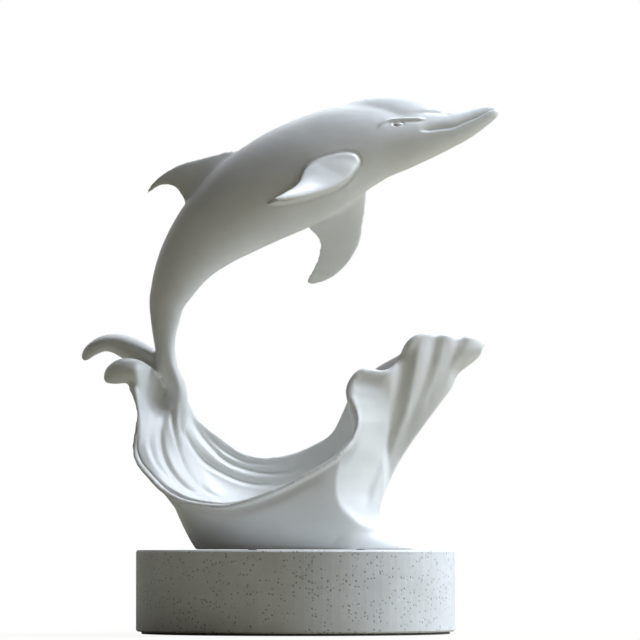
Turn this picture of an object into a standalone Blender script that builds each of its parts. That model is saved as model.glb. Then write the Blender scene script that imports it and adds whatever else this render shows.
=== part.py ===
"""A dolphin leaping from a breaking wave, cast in one piece and screwed down on a round stone base.

Lengths are millimetres until a mesh is made, which is in metres. The casting is drawn from its own
foot, at the middle of the stone's top face: X runs along the leap, Y away from the front, Z up.
"""

import math

import bmesh
import bpy
import numpy as np
from mathutils import Matrix, Vector

MM = 0.001

# The stone base and what holds the casting to it
BASE_DIAMETER = 177.0
BASE_HEIGHT = 45.0
BASE_BEVEL = 0.9
FELT_THICKNESS = 1.0
FELT_INSET = 3.0
SEAT_GAP = 0.3
SCREW_SPACING = 60.0
SCREW_SHANK_DIAMETER = 4.6
SCREW_GRIP = 11.0
SCREW_HEAD_DIAMETER = 9.4
SCREW_HEAD_HEIGHT = 3.4
SCREW_SOCKET_ACROSS = 3.6
SCREW_SOCKET_DEPTH = 2.0
WASHER_DIAMETER = 12.0
WASHER_THICKNESS = 1.0
COUNTERBORE_DIAMETER = 15.0
COUNTERBORE_DEPTH = 15.0
HOLE_CLEARANCE = 0.4

# The wave is a curling hull. Its sections run from the left crest (0) to the tip of the right crest (1).
# Each gives the outside of the keel (x, y, z), the keel's half depth, and the valley inside (x, y, z).
WALL_SWEEP = 1.45
LIP_THICKNESS = 4.6
WALL_BULGE = 3.0
FOOT_MIDDLE = 6.0
SECTIONS = [
    (0.00, -84.0, 5.0, 100.0, 3.0, -80.0, 4.0, 101.0),
    (0.10, -82.0, 4.0, 80.0, 9.0, -64.0, 3.0, 88.0),
    (0.20, -74.0, 3.0, 42.0, 13.0, -60.0, 4.0, 54.0),
    (0.30, -52.5, 1.0, -3.0, 12.0, -46.0, 4.0, 29.0),
    (0.40, -28.0, 0.0, -3.0, 31.0, -26.0, 3.0, 20.0),
    (0.50, 6.0, 0.0, -3.0, 34.0, -4.0, 2.0, 18.0),
    (0.60, 36.0, 0.0, -3.0, 28.0, 16.0, 2.0, 21.0),
    (0.68, 49.0, 1.0, -1.0, 16.0, 28.0, 2.0, 36.0),
    (0.74, 46.5, 2.0, 21.0, 11.0, 38.0, 3.0, 56.0),
    (0.80, 54.0, 3.0, 42.0, 10.0, 46.0, 4.0, 72.0),
    (0.90, 78.0, 5.0, 78.0, 9.0, 69.0, 6.0, 97.0),
    (0.95, 92.0, 7.0, 96.0, 6.0, 87.5, 7.0, 112.0),
    (1.00, 105.0, 9.0, 111.0, 2.5, 107.0, 8.5, 117.0),
]
# The front rim from the left crest round to the right tip, and where each section meets it, by length
FRONT_RIM = [
    (-84.0, 4.0, 103.0), (-90.0, -5.0, 99.5), (-93.0, -13.0, 94.0), (-92.5, -18.0, 88.5),
    (-90.0, -22.0, 83.0), (-88.0, -25.0, 74.5), (-89.0, -27.0, 65.5), (-90.0, -30.0, 55.5),
    (-88.0, -33.0, 48.0), (-81.0, -37.0, 39.5), (-72.5, -40.0, 31.5), (-61.5, -43.0, 26.0),
    (-50.5, -45.0, 24.0), (-39.0, -46.0, 23.5), (-26.5, -47.0, 26.5), (-14.5, -47.0, 31.0),
    (8.0, -45.0, 42.0), (24.5, -41.0, 52.5), (32.5, -37.0, 62.0), (35.5, -35.0, 72.0),
    (34.5, -33.5, 80.5), (32.0, -31.5, 86.5), (31.5, -30.0, 92.0), (34.5, -29.0, 97.0),
    (43.0, -27.0, 99.5), (50.5, -25.3, 98.3), (56.0, -23.6, 102.5), (60.5, -22.0, 110.0),
    (65.5, -20.0, 116.5), (72.0, -17.0, 119.5), (78.5, -14.0, 118.5), (85.5, -10.0, 119.0),
    (90.5, -7.0, 117.5), (98.0, -2.0, 118.5), (104.0, 4.0, 117.0), (107.5, 9.0, 113.0),
]
FRONT_RIM_MEETS = [0.0, 0.115, 0.215, 0.32, 0.405, 0.50, 0.585, 0.66, 0.71, 0.765, 0.87, 0.93, 1.0]
BACK_RIM = [
    (-84.0, 7.0, 103.5), (-78.0, 15.0, 107.0), (-72.0, 20.0, 102.0), (-65.5, 26.0, 91.5),
    (-61.5, 30.0, 82.0), (-57.5, 33.0, 74.0), (-51.5, 35.0, 68.0), (-42.0, 37.0, 61.0),
    (-31.0, 38.0, 54.0), (-20.0, 38.5, 51.5), (-9.0, 38.0, 52.0), (2.5, 37.0, 55.0),
    (10.5, 36.5, 58.5), (20.0, 36.0, 64.0), (27.5, 35.0, 76.5), (33.0, 34.0, 87.5),
    (41.5, 33.0, 97.0), (49.5, 32.0, 103.0), (58.0, 31.0, 107.5), (66.5, 29.0, 113.0),
    (77.5, 26.0, 114.5), (88.5, 22.0, 115.5), (99.5, 16.0, 115.5), (107.5, 9.0, 113.0),
]
BACK_RIM_MEETS = [0.0, 0.10, 0.20, 0.285, 0.37, 0.455, 0.535, 0.61, 0.66, 0.715, 0.835, 0.91, 1.0]

# A low spill of water along the front of the foot, out to its right end, with a shoulder that slopes
# back and up from its front edge: x, y, height of the front edge, half depth, rise of the shoulder
SPILL_SQUARENESS = 3.2
SPILL = [
    (-16.0, -18.0, 10.0, 8.0, 0.0), (2.0, -20.5, 18.0, 10.0, 2.0), (16.0, -21.5, 23.0, 11.5, 4.0),
    (22.5, -21.8, 21.5, 12.5, 5.0), (27.5, -21.3, 17.0, 13.0, 6.5), (37.0, -18.0, 11.2, 13.5, 8.0),
    (44.0, -15.5, 8.6, 12.5, 5.5), (52.4, -11.5, 6.0, 11.0, 2.5), (60.0, -7.5, 3.8, 8.5, 0.8),
    (65.5, -3.5, 1.4, 4.0, 0.0),
]

# Two tongues of water that curl off the left crest: x, z, half height, half depth along each
BACK_CURL_DEPTH = 14.0
BACK_CURL = [
    (-71.5, 86.0, 5.5, 9.0), (-74.0, 96.0, 7.4, 12.5), (-79.0, 103.0, 7.8, 14.0), (-85.5, 107.8, 7.3, 14.5),
    (-93.0, 112.0, 6.7, 14.0), (-100.5, 114.8, 5.5, 12.5), (-106.5, 115.0, 4.5, 11.0),
    (-111.5, 113.0, 4.0, 9.0), (-115.5, 110.0, 3.4, 6.5), (-117.5, 107.0, 2.4, 4.0), (-118.0, 105.0, 0.8, 1.2),
]
FRONT_CURL_DEPTH = -13.0
FRONT_CURL = [
    (-78.0, 80.0, 5.5, 8.0), (-80.0, 89.0, 7.6, 11.0), (-84.5, 95.3, 7.4, 12.0), (-90.5, 98.6, 7.0, 11.5),
    (-96.0, 98.5, 6.9, 10.5), (-100.3, 96.4, 6.0, 8.5), (-103.0, 93.8, 4.0, 5.5), (-104.0, 91.8, 1.2, 1.8),
]

# The dolphin from its tail stock in the wave to the tip of its beak: x, z, half height, half width
BODY_ROLL = 20.0
BODY = [
    (-70.0, 52.0, 4.0, 5.0), (-68.5, 62.0, 6.0, 7.0), (-66.8, 76.0, 7.4, 8.0), (-67.5, 87.5, 7.6, 8.0), (-70.5, 95.5, 6.9, 7.4), (-72.0, 103.0, 6.0, 6.4),
    (-72.5, 111.0, 5.6, 5.6), (-73.0, 119.5, 6.7, 6.0), (-72.5, 128.5, 8.5, 7.2), (-71.5, 137.5, 10.3, 8.8),
    (-68.5, 145.5, 12.4, 10.8), (-60.0, 161.5, 16.6, 14.8), (-49.0, 174.5, 20.9, 19.0),
    (-35.0, 186.5, 25.0, 23.0), (-20.5, 196.5, 27.7, 25.6), (-5.0, 205.0, 29.1, 27.0),
    (11.0, 213.0, 28.8, 26.8), (26.5, 221.0, 26.4, 24.6), (43.0, 226.0, 22.0, 21.4),
    (61.0, 228.5, 16.8, 17.0), (78.5, 231.5, 11.5, 12.6), (95.5, 236.5, 7.4, 8.4), (103.5, 240.3, 5.6, 6.4),
    (108.5, 242.8, 4.4, 5.0), (111.6, 244.1, 3.1, 3.5), (113.1, 244.7, 1.1, 1.3),
]
MELON_MIDDLE = (53.0, 2.5, 234.8)
MELON_HALF_SIZE = (38.0, 16.0, 18.0)

# Fins as their leading and trailing edges from root to tip, with the thickness at each end
FIN_ROOT_THICKNESS = 7.0
FIN_TIP_THICKNESS = 2.8
DORSAL_LEADING = [
    (-15.5, 4.0, 216.5), (-29.5, 6.0, 223.0), (-39.5, 7.5, 222.0), (-50.5, 9.5, 219.5), (-59.0, 11.0, 217.0),
    (-67.0, 13.0, 214.0), (-74.5, 14.5, 209.5), (-80.0, 16.0, 204.5), (-84.6, 17.0, 198.6),
]
DORSAL_TRAILING = [
    (-50.5, 4.0, 186.0), (-62.0, 6.0, 191.0), (-64.0, 7.5, 196.0), (-67.0, 9.5, 201.0), (-71.5, 11.5, 203.0),
    (-76.5, 13.5, 202.5), (-80.5, 15.0, 200.3), (-82.8, 16.5, 198.3), (-84.3, 17.0, 197.2),
]
FAR_FLIPPER_LEADING = [
    (45.5, 5.0, 213.5), (40.5, 11.0, 201.0), (39.5, 17.0, 191.5), (38.0, 23.0, 183.0), (36.5, 28.0, 174.5),
    (33.5, 32.0, 167.5), (28.5, 36.0, 160.5), (22.0, 39.5, 154.5), (14.5, 42.0, 151.0), (7.6, 43.5, 149.6),
]
FAR_FLIPPER_TRAILING = [
    (2.5, 5.0, 191.5), (7.5, 12.0, 178.0), (11.5, 17.0, 174.0), (13.0, 22.0, 170.5), (13.0, 27.0, 166.0),
    (11.5, 31.0, 161.0), (9.0, 35.0, 156.5), (7.5, 38.5, 153.8), (6.3, 41.5, 152.0), (6.3, 43.5, 150.6),
]
NEAR_FLIPPER_LEADING = [
    (37.5, -14.0, 221.0), (36.2, -19.0, 216.5), (34.5, -22.5, 211.5), (30.0, -26.0, 205.0), (25.0, -29.0, 200.8),
    (18.4, -32.5, 197.3), (11.8, -36.5, 195.0), (6.2, -40.5, 193.2), (-0.4, -45.5, 191.6), (-6.8, -50.0, 190.5),
    (-13.4, -54.0, 190.3),
]
NEAR_FLIPPER_TRAILING = [
    (20.0, -20.0, 221.5), (15.0, -24.5, 217.0), (9.5, -28.3, 213.0), (5.2, -30.3, 210.2), (3.0, -32.0, 207.0),
    (2.1, -34.5, 203.4), (-0.2, -39.0, 199.8), (-3.2, -43.5, 197.4), (-6.8, -47.5, 195.2), (-10.2, -51.3, 193.0),
    (-13.8, -54.0, 191.6),
]

# Creases seen from the front, as x, z along each, with their depth and half width
FLOW_CREASE = (1.5, 1.9)
FLOW_LINES = [
    [(-66.5, 89.5), (-67.5, 80.5), (-67.5, 72.0), (-65.5, 61.0), (-62.0, 49.5), (-57.5, 41.5),
     (-51.5, 34.5), (-44.0, 29.5), (-36.5, 27.5)],
    [(-72.5, 74.5), (-74.0, 66.5), (-73.5, 57.0), (-71.0, 48.5), (-66.0, 40.5), (-59.0, 33.5), (-50.0, 28.5)],
    [(-64.0, 83.0), (-62.0, 66.5), (-57.0, 57.0), (-50.0, 49.0), (-41.0, 43.5), (-31.0, 39.0),
     (-19.0, 37.0), (-6.5, 37.5), (4.5, 42.0)],
    [(-60.0, 76.5), (-53.0, 64.0), (-46.0, 56.0), (-37.5, 49.0), (-28.0, 45.5), (-17.5, 43.5),
     (-5.5, 44.0), (7.0, 48.0)],
    [(-55.5, 71.0), (-47.5, 62.0), (-37.5, 54.0), (-27.5, 49.5), (-16.5, 48.5), (-4.5, 49.0)],
]
# The flutes fold each wall of the fan inwards, towards the level halfway between them, as x, y
FAN_MIDDLE = [(40.0, 2.0), (75.0, 6.0), (110.0, 13.0)]
DEEP_FLUTE = (3.2, 4.4)
DEEP_FLUTE_LINE = [
    (58.5, 108.0), (59.0, 99.0), (57.0, 86.0), (53.0, 72.0), (48.0, 57.0), (43.5, 43.0), (40.0, 29.0), (39.0, 15.0),
]
SOFT_FLUTE = (1.8, 3.6)
SOFT_FLUTE_LINES = [
    [(78.5, 121.0), (75.5, 107.5), (71.5, 93.0), (65.0, 77.5), (58.0, 61.0), (52.0, 45.0)],
    [(91.5, 120.0), (88.0, 109.5), (83.5, 99.5), (77.0, 87.5), (70.0, 76.0)],
]
# The hollow under the front curl, seen from the front: x, z, half width, half height, depth
THROAT = (-77.0, 87.0, 6.5, 12.0, 6.0)

# Where the forms are worked into each other: middle and reach of each spot
SOFT_SPOTS = [
    ((22.0, 4.0, 244.0), 26.0),
    ((-64.0, 0.0, 74.0), 22.0),
    ((-46.0, 5.0, 203.0), 20.0),
    ((-24.0, 5.0, 216.0), 15.0),
    ((27.0, -17.0, 223.0), 16.0),
    ((22.0, 8.0, 196.0), 20.0),
    ((53.0, -23.0, 99.0), 16.0),
]
SOFT_PASSES = 60

# How finely the casting's one skin is made
SKIN_VOXEL = 0.9
BLEND_PASSES = 6
SKIN_TRIANGLES = 11300


def clear_scene():
    for old in list(bpy.data.objects):
        bpy.data.objects.remove(old)


def material(name, colour, roughness, metallic=0.0):
    made = bpy.data.materials.new(name)
    made.use_nodes = True
    shader = made.node_tree.nodes["Principled BSDF"]
    shader.inputs["Base Color"].default_value = (*colour, 1.0)
    shader.inputs["Roughness"].default_value = roughness
    shader.inputs["Metallic"].default_value = metallic
    return made


def add_object(name, mesh, finish=None):
    made = bpy.data.objects.new(name, mesh)
    bpy.context.collection.objects.link(made)
    if finish:
        mesh.materials.append(finish)
    return made


def curve_through(points, count, closed=False):
    """Evenly spaced samples of a smooth curve through hand-placed points of any dimension."""
    knots = np.array(points, float)
    if closed:
        knots = np.vstack([knots[-3:], knots, knots[:4]])
    reach = np.concatenate([[0.0], np.cumsum(np.linalg.norm(np.diff(knots, axis=0), axis=1))])
    slopes = np.gradient(knots, reach, axis=0)
    ends = (reach[3], reach[-4]) if closed else (reach[0], reach[-1])
    fine = np.linspace(*ends, 12 * len(knots) + count)
    span = np.clip(np.searchsorted(reach, fine, side="right") - 1, 0, len(knots) - 2)
    width = (reach[span + 1] - reach[span])[:, None]
    t = (fine - reach[span])[:, None] / width
    rise = t * t * (3.0 - 2.0 * t)
    path = knots[span] * (1.0 - rise) + knots[span + 1] * rise
    path += width * (slopes[span] * t * (1.0 - t) ** 2 - slopes[span + 1] * t * t * (1.0 - t))
    along = np.concatenate([[0.0], np.cumsum(np.linalg.norm(np.diff(path, axis=0), axis=1))])
    stops = np.linspace(0.0, along[-1], count, endpoint=not closed)
    return np.stack([np.interp(stops, along, path[:, k]) for k in range(path.shape[1])], axis=1)


def loft(name, rings):
    """A closed skin through rings of points in millimetres, with each end drawn to its middle."""
    bm = bmesh.new()
    rows = [[bm.verts.new(Vector(p) * MM) for p in ring] for ring in rings]
    for low, high in zip(rows, rows[1:]):
        for k in range(len(low)):
            bm.faces.new((low[k - 1], low[k], high[k], high[k - 1]))
    for row, ring, flip in ((rows[0], rings[0], True), (rows[-1], rings[-1], False)):
        middle = bm.verts.new(Vector(np.mean(ring, axis=0)) * MM)
        for k in range(len(row)):
            corners = (row[k - 1], row[k], middle)
            bm.faces.new(corners[::-1] if flip else corners)
    bmesh.ops.recalc_face_normals(bm, faces=bm.faces)
    mesh = bpy.data.meshes.new(name)
    bm.to_mesh(mesh)
    bm.free()
    return add_object(name, mesh)


def oval_sections(stations, side_to_side, roll, count, points=48):
    """Oval rings along x, z stations that carry a half height and a half depth."""
    path = curve_through(stations, count)
    ahead = np.gradient(path[:, :2], axis=0)
    ahead /= np.linalg.norm(ahead, axis=1)[:, None]
    turn = math.radians(roll)
    angles = np.linspace(0.0, 2.0 * math.pi, points, endpoint=False)
    rings = []
    for (x, z, half_height, half_depth), (ax, az) in zip(path, ahead):
        across = np.array([-az, 0.0, ax])
        away = np.array([0.0, 1.0, 0.0])
        up = across * math.cos(turn) + away * math.sin(turn)
        side = away * math.cos(turn) - across * math.sin(turn)
        middle = np.array([x, side_to_side, z])
        rings.append([middle + up * half_height * math.sin(a) + side * half_depth * math.cos(a) for a in angles])
    return rings


def fin(name, leading, trailing, count=40, points=28):
    """A tapering blade between a leading and a trailing edge, rounded in front and fine behind."""
    front = curve_through(leading, count)
    back = curve_through(trailing, count)
    outward = np.gradient((front + back) / 2.0, axis=0)
    angles = np.linspace(0.0, 2.0 * math.pi, points, endpoint=False)
    rings = []
    for k in range(count):
        chord = back[k] - front[k]
        face = np.cross(chord, outward[k])
        face /= np.linalg.norm(face)
        share = k / (count - 1)
        thick = FIN_ROOT_THICKNESS * (1.0 - share) + FIN_TIP_THICKNESS * share
        thick = min(thick, max(np.linalg.norm(chord), 0.6))
        ring = []
        for a in angles:
            along = (1.0 - math.cos(a)) / 2.0
            half = thick / 2.0 * math.sin(a) * (1.0 - 0.2 * along)
            ring.append(front[k] + chord * along + face * half)
        rings.append(ring)
    return loft(name, rings)


def by_station(table, stations):
    """Smooth values at any station from rows that begin with their own station."""
    rows = np.array(table, float)
    at, values = rows[:, 0], rows[:, 1:]
    slopes = np.gradient(values, at, axis=0)
    span = np.clip(np.searchsorted(at, stations, side="right") - 1, 0, len(at) - 2)
    width = (at[span + 1] - at[span])[:, None]
    t = (stations - at[span])[:, None] / width
    rise = t * t * (3.0 - 2.0 * t)
    blend = values[span] * (1.0 - rise) + values[span + 1] * rise
    return blend + width * (slopes[span] * t * (1.0 - t) ** 2 - slopes[span + 1] * t * t * (1.0 - t))


def rim_at(rim, meets, stations):
    """Points of a rim at each station, from the share of its length where each section meets it."""
    path = curve_through(rim, 600)
    pace = [(row[0], share) for row, share in zip(SECTIONS, meets)]
    share = np.clip(by_station(pace, stations)[:, 0], 0.0, 1.0)
    spots = np.linspace(0.0, 1.0, len(path))
    return np.stack([np.interp(share, spots, path[:, k]) for k in range(3)], axis=1)


def hull_side(side, keel, half_depth, rim, valley):
    """One side of the hull: rows of points up the outside to the rim and down the inside to the valley."""
    corner = keel + half_depth[:, None] * np.array([0.0, side, 0.0])
    shares = np.linspace(0.0, 1.0, 12)
    outside = []
    for share in shares:
        row = corner + (rim - corner) * share**WALL_SWEEP
        row[:, 1] += side * WALL_BULGE * math.sin(math.pi * share)
        row[:, 2] = corner[:, 2] + (rim[:, 2] - corner[:, 2]) * share
        outside.append(row)
    wall = np.array(outside).transpose(1, 0, 2)
    inward = np.cross(np.gradient(wall, axis=0), np.gradient(wall, axis=1))
    inward /= np.linalg.norm(inward, axis=2)[:, :, None] + 1e-9
    inward *= np.sign(np.sum(inward[:, 8] * (valley - wall[:, 8]), axis=1))[:, None, None]
    room = np.minimum(LIP_THICKNESS, 0.35 * np.linalg.norm(rim - valley, axis=1))
    lip = wall[:, -1] + inward[:, -1] * room[:, None]
    crown = (wall[:, -1] + lip) / 2.0 + (wall[:, -1] - wall[:, -2]) * 0.12
    under = lip + (wall[:, 8] - wall[:, -1]) * 0.9 + inward[:, 8] * 1.5
    near_valley = valley.copy()
    near_valley[:, 1] += (rim[:, 1] - valley[:, 1]) * 0.55
    inside = []
    for t in np.linspace(0.0, 1.0, 14)[:-1]:
        inside.append(
            lip * (1.0 - t) ** 3 + 3.0 * under * t * (1.0 - t) ** 2 + 3.0 * near_valley * t * t * (1.0 - t) + valley * t**3
        )
    return list(np.array(outside)) + [crown] + inside


def wave_hull():
    """The wave as one thick curling hull, lofted section by section from crest to crest."""
    stations = np.linspace(0.012, 0.992, 150)
    values = by_station(SECTIONS, stations)
    keel, half_depth, valley = values[:, 0:3], values[:, 3], values[:, 4:7]
    front = hull_side(-1.0, keel, half_depth, rim_at(FRONT_RIM, FRONT_RIM_MEETS, stations), valley)
    back = hull_side(1.0, keel, half_depth, rim_at(BACK_RIM, BACK_RIM_MEETS, stations), valley)
    ring = [keel] + front + [valley] + back[::-1]
    return loft("wave_hull", np.array(ring).transpose(1, 0, 2))


def spill():
    """The low spill of water along the foot, as half buried, squarish ovals with a sloping shoulder."""
    path = curve_through(SPILL, 70)
    angles = np.linspace(0.0, 2.0 * math.pi, 40, endpoint=False)
    rings = []
    square = 2.0 / SPILL_SQUARENESS
    for x, y, edge, half_depth, shoulder in path:
        ring = []
        for a in angles:
            across = math.copysign(abs(math.cos(a)) ** square, math.cos(a))
            rise = math.copysign(abs(math.sin(a)) ** square, math.sin(a))
            slope = min((1.0 + across) / 0.8, 1.0) * max(rise, 0.0)
            ring.append((x, y + half_depth * across, edge * rise + shoulder * slope))
        rings.append(ring)
    return loft("spill", rings)


def melon():
    """The rounded forehead over the beak, rolled with the body."""
    bm = bmesh.new()
    bmesh.ops.create_uvsphere(bm, u_segments=48, v_segments=32, radius=1.0)
    shape = Matrix.Diagonal((*[half * MM for half in MELON_HALF_SIZE], 1.0))
    place = Matrix.Translation(Vector(MELON_MIDDLE) * MM)
    bm.transform(place @ Matrix.Rotation(-math.radians(BODY_ROLL), 4, "X") @ shape)
    mesh = bpy.data.meshes.new("melon")
    bm.to_mesh(mesh)
    bm.free()
    return add_object("melon", mesh)


def one_skin(pieces):
    """Joins overlapping pieces into one closed, blended skin, as one pour in one mould gives."""
    bpy.ops.object.select_all(action="DESELECT")
    for piece in pieces:
        piece.select_set(True)
    bpy.context.view_layer.objects.active = pieces[0]
    bpy.ops.object.join()
    whole = pieces[0]
    skin = whole.modifiers.new("skin", "REMESH")
    skin.mode = "VOXEL"
    skin.voxel_size = SKIN_VOXEL * MM
    blend = whole.modifiers.new("blend", "SMOOTH")
    blend.factor = 0.5
    blend.iterations = BLEND_PASSES
    return bake(whole)


def bake(whole):
    """Replaces an object's mesh with what its modifiers make of it."""
    graph = bpy.context.evaluated_depsgraph_get()
    mesh = bpy.data.meshes.new_from_object(whole.evaluated_get(graph))
    whole.modifiers.clear()
    whole.data = mesh
    return whole


def distance_to_line(points, line):
    """Distance in millimetres from each x, z point to a smooth line, and the share of its length there."""
    path = curve_through(line, 60)
    start, step = path[:-1], np.diff(path, axis=0)
    nearest = np.full(len(points), 1e9)
    along = np.zeros(len(points))
    for k, (a, d) in enumerate(zip(start, step)):
        share = np.clip((points - a) @ d / (d @ d), 0.0, 1.0)
        offset = points - a - share[:, None] * d
        gap = np.linalg.norm(offset, axis=1)
        closer = gap < nearest
        nearest[closer] = gap[closer]
        along[closer] = (k + share[closer]) / len(step)
    return nearest, along


def soften(whole):
    """Blends the forehead into the neck and the fins and tail into their roots, as wax is worked."""
    mesh = whole.data
    count = len(mesh.vertices)
    place = np.zeros(count * 3)
    mesh.vertices.foreach_get("co", place)
    place = place.reshape(-1, 3) / MM
    pairs = np.zeros(len(mesh.edges) * 2, dtype=int)
    mesh.edges.foreach_get("vertices", pairs)
    pairs = pairs.reshape(-1, 2)
    share = np.zeros(count)
    for middle, reach in SOFT_SPOTS:
        away = np.linalg.norm(place - np.array(middle), axis=1) / reach
        share = np.maximum(share, np.clip(2.0 - 2.0 * away, 0.0, 1.0))
    chosen = np.unique(pairs[(share[pairs] > 0.0).any(axis=1)])
    slot = np.full(count, -1)
    slot[chosen] = np.arange(len(chosen))
    near = slot[pairs[(slot[pairs] >= 0).all(axis=1)]]
    links = np.bincount(near.ravel(), minlength=len(chosen))[:, None]
    local, weight = place[chosen], 0.5 * share[chosen][:, None]
    for _ in range(SOFT_PASSES):
        total = np.zeros_like(local)
        for k in range(3):
            total[:, k] = np.bincount(near[:, 0], local[near[:, 1], k], len(chosen))
            total[:, k] += np.bincount(near[:, 1], local[near[:, 0], k], len(chosen))
        local += (total / links - local) * weight
    place[chosen] = local
    mesh.vertices.foreach_set("co", (place * MM).ravel())
    mesh.update()


def carve(whole):
    """Presses the flow lines, the flutes and the hollow under the front curl into the wave's skin."""
    mesh = whole.data
    count = len(mesh.vertices)
    place = np.zeros(count * 3)
    facing = np.zeros(count * 3)
    mesh.vertices.foreach_get("co", place)
    mesh.vertices.foreach_get("normal", facing)
    place, facing = place.reshape(-1, 3) / MM, facing.reshape(-1, 3)
    flat = place[:, [0, 2]]
    shift = np.zeros(count)
    seen = np.clip((-facing[:, 1] + 0.35 * facing[:, 2]) * 3.0, 0.0, 1.0)
    seen *= np.clip(facing[:, 2] * 5.0 + np.clip((place[:, 1] + 26.0) * 0.2, 0.0, 1.0), 0.0, 1.0)
    for line in FLOW_LINES:
        gap, along = distance_to_line(flat, line)
        fade = np.clip(along * 5.0, 0.0, 1.0) * np.clip((1.0 - along) * 6.0, 0.0, 1.0)
        shift -= FLOW_CREASE[0] * np.exp(-((gap / FLOW_CREASE[1]) ** 2)) * seen * fade
    fold = np.zeros(count)
    for line, (depth, width) in [(DEEP_FLUTE_LINE, DEEP_FLUTE)] + [(s, SOFT_FLUTE) for s in SOFT_FLUTE_LINES]:
        gap, along = distance_to_line(flat, line)
        fold += depth * np.exp(-((gap / width) ** 2)) * np.clip((1.0 - along) * 2.2, 0.0, 1.0)
    middle = np.interp(place[:, 0], *np.transpose(FAN_MIDDLE))
    fold *= np.clip((middle - place[:, 1]) / 7.0, -1.0, 1.0)
    x, z, half_width, half_height, depth = THROAT
    reach = np.hypot((flat[:, 0] - x) / half_width, (flat[:, 1] - z) / half_height)
    hollow = depth * np.exp(-(reach**2)) * np.clip(-facing[:, 1] * 2.0 + 0.4, 0.0, 1.0)
    hollow *= np.clip((-4.0 - place[:, 1]) / 8.0, 0.0, 1.0)
    place += facing * shift[:, None]
    place[:, 1] += hollow + fold
    mesh.vertices.foreach_set("co", (place * MM).ravel())
    mesh.update()


def cut_foot(whole):
    """Slices the casting flat where it sits on the stone."""
    bm = bmesh.new()
    bm.from_mesh(whole.data)
    cut = bmesh.ops.bisect_plane(
        bm,
        geom=bm.verts[:] + bm.edges[:] + bm.faces[:],
        plane_co=(0.0, 0.0, 0.0),
        plane_no=(0.0, 0.0, -1.0),
        clear_outer=True,
    )
    edges = [g for g in cut["geom_cut"] if isinstance(g, bmesh.types.BMEdge)]
    bmesh.ops.holes_fill(bm, edges=edges, sides=0)
    bmesh.ops.recalc_face_normals(bm, faces=bm.faces)
    bmesh.ops.triangulate(bm, faces=bm.faces)
    bm.to_mesh(whole.data)
    bm.free()


def keep_the_body(whole):
    """Drops the specks that skinning leaves inside a narrow fold, and keeps the casting itself."""
    bm = bmesh.new()
    bm.from_mesh(whole.data)
    left = set(bm.verts)
    bodies = []
    while left:
        todo = [left.pop()]
        body = list(todo)
        while todo:
            for edge in todo.pop().link_edges:
                for vert in edge.verts:
                    if vert in left:
                        left.remove(vert)
                        todo.append(vert)
                        body.append(vert)
        bodies.append(body)
    bodies.sort(key=len)
    for body in bodies[:-1]:
        bmesh.ops.delete(bm, geom=body, context="VERTS")
    bm.to_mesh(whole.data)
    bm.free()


def thin_out(whole):
    """Keeps triangles where the form turns, and few where it is plain."""
    whole.data.calc_loop_triangles()
    thin = whole.modifiers.new("thin", "DECIMATE")
    thin.ratio = SKIN_TRIANGLES / len(whole.data.loop_triangles)
    thin.use_collapse_triangulate = True
    return bake(whole)


def turned(name, profile, finish, steps=96, hollow=False):
    """A solid turned about Z from a profile of radius and height, capped flat or open as a ring."""
    bm = bmesh.new()
    rows = []
    for radius, height in profile:
        angles = [2.0 * math.pi * k / steps for k in range(steps)]
        rows.append([bm.verts.new((radius * MM * math.cos(a), radius * MM * math.sin(a), height * MM)) for a in angles])
    for low, high in zip(rows, rows[1:] + rows[:1] if hollow else rows[1:]):
        for k in range(steps):
            bm.faces.new((low[k - 1], low[k], high[k], high[k - 1]))
    if not hollow:
        bm.faces.new(rows[0])
        bm.faces.new(rows[-1])
    bmesh.ops.recalc_face_normals(bm, faces=bm.faces)
    mesh = bpy.data.meshes.new(name)
    bm.to_mesh(mesh)
    bm.free()
    made = add_object(name, mesh, finish)
    mesh.shade_smooth()
    mesh.set_sharp_from_angle(angle=math.radians(35.0))
    return made


def cylinder(name, radius, bottom, top, sides=32):
    """A plain cylinder about Z, used as a drill."""
    return turned(name, [(radius, bottom), (radius, top)], None, sides)


def drill(target, cutter):
    """Leaves a live Boolean cut on the target, and hides its cutter from the render."""
    cutter.hide_render = True
    cutter.display_type = "WIRE"
    cut = target.modifiers.new(cutter.name, "BOOLEAN")
    cut.operation = "DIFFERENCE"
    cut.solver = "EXACT"
    cut.object = cutter


BASE_BOTTOM = FELT_THICKNESS + SEAT_GAP
BASE_TOP = BASE_BOTTOM + BASE_HEIGHT
FOOT_LEVEL = BASE_TOP + SEAT_GAP
SHOULDER_LEVEL = BASE_BOTTOM + COUNTERBORE_DEPTH
SCREW_PLACES = {
    "left": FOOT_MIDDLE - SCREW_SPACING / 2.0,
    "right": FOOT_MIDDLE + SCREW_SPACING / 2.0,
}


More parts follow.
